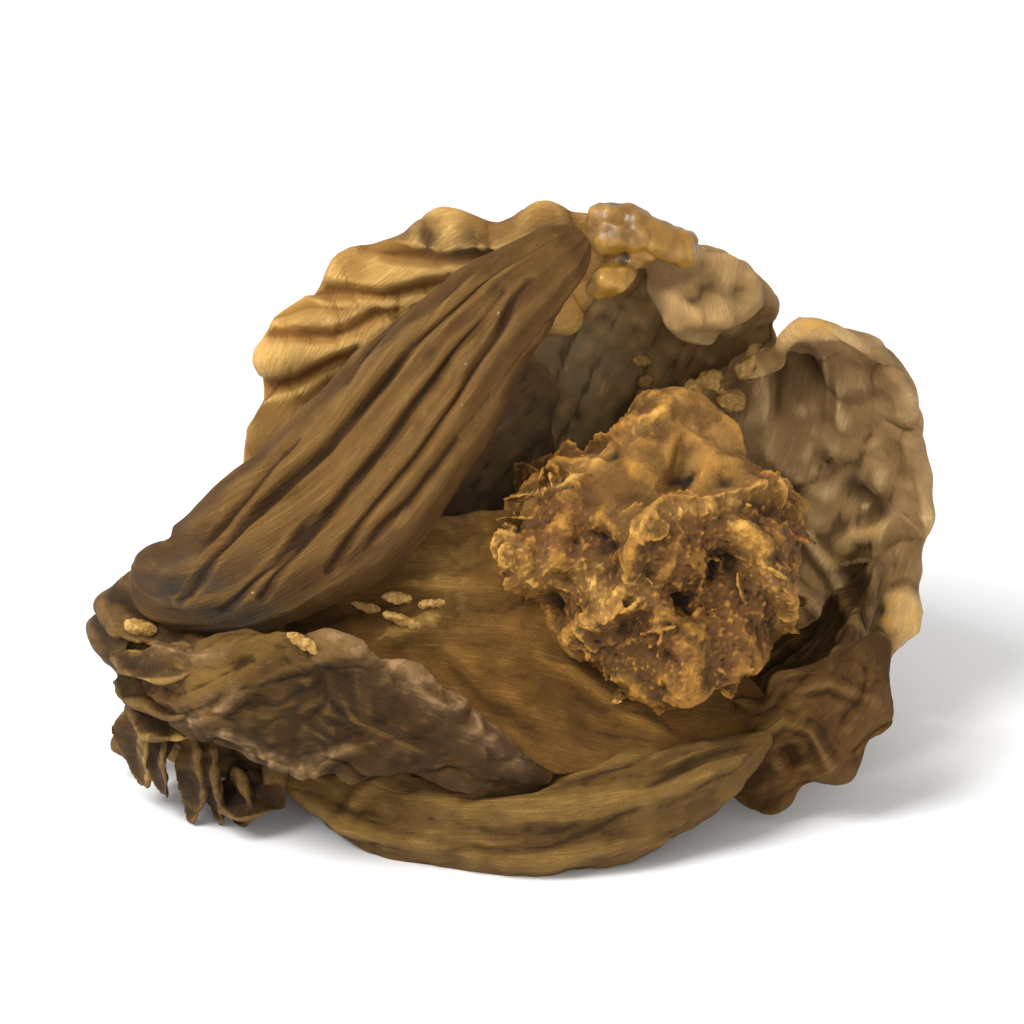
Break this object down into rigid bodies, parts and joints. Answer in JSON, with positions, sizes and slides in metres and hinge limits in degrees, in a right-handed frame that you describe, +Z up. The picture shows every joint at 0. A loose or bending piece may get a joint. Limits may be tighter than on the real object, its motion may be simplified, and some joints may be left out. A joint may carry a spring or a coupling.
{
  "type": "dried lily bulb",
  "caption": "Shrivelled dried lily bulb lying on its side: furrowed scales on a lumpy basal plate, open at the front on a crumbly heart.",
  "frame": {"origin": "middle of the underside that the bulb lies on", "axes": "+X from the basal plate towards the tips, -Y out of the open front, +Z up"},
  "size_m": [0.0317, 0.0224, 0.0224],
  "materials": {
    "brown_skin": "dry, furrowed brown scale skin with paler ridges",
    "amber_skin": "orange-brown scale skin, thin and slightly glossy at its margins",
    "grey_skin": "weathered grey-brown scale skin, matt and dusty",
    "dark_skin": "dark, crumpled skin with pale worn edges",
    "crumbly_heart": "rough, crumbly broken tissue with pale flecks"
  },
  "bodies": {
    "root": {"broken_core": "crumbly_heart", "long_scale": "brown_skin", "front_flap": "dark_skin", "lower_front_scale": "brown_skin", "fringe_scale": "brown_skin", "cradle_scale": "amber_skin", "under_scale": "brown_skin", "basal_plate": "dark_skin", "hood_scale": "grey_skin", "back_scale": "amber_skin", "inner_scale": "brown_skin", "upper_scale": "grey_skin", "outer_back_scale": "brown_skin", "lower_back_scale": "brown_skin"}
  },
  "joints": []
}
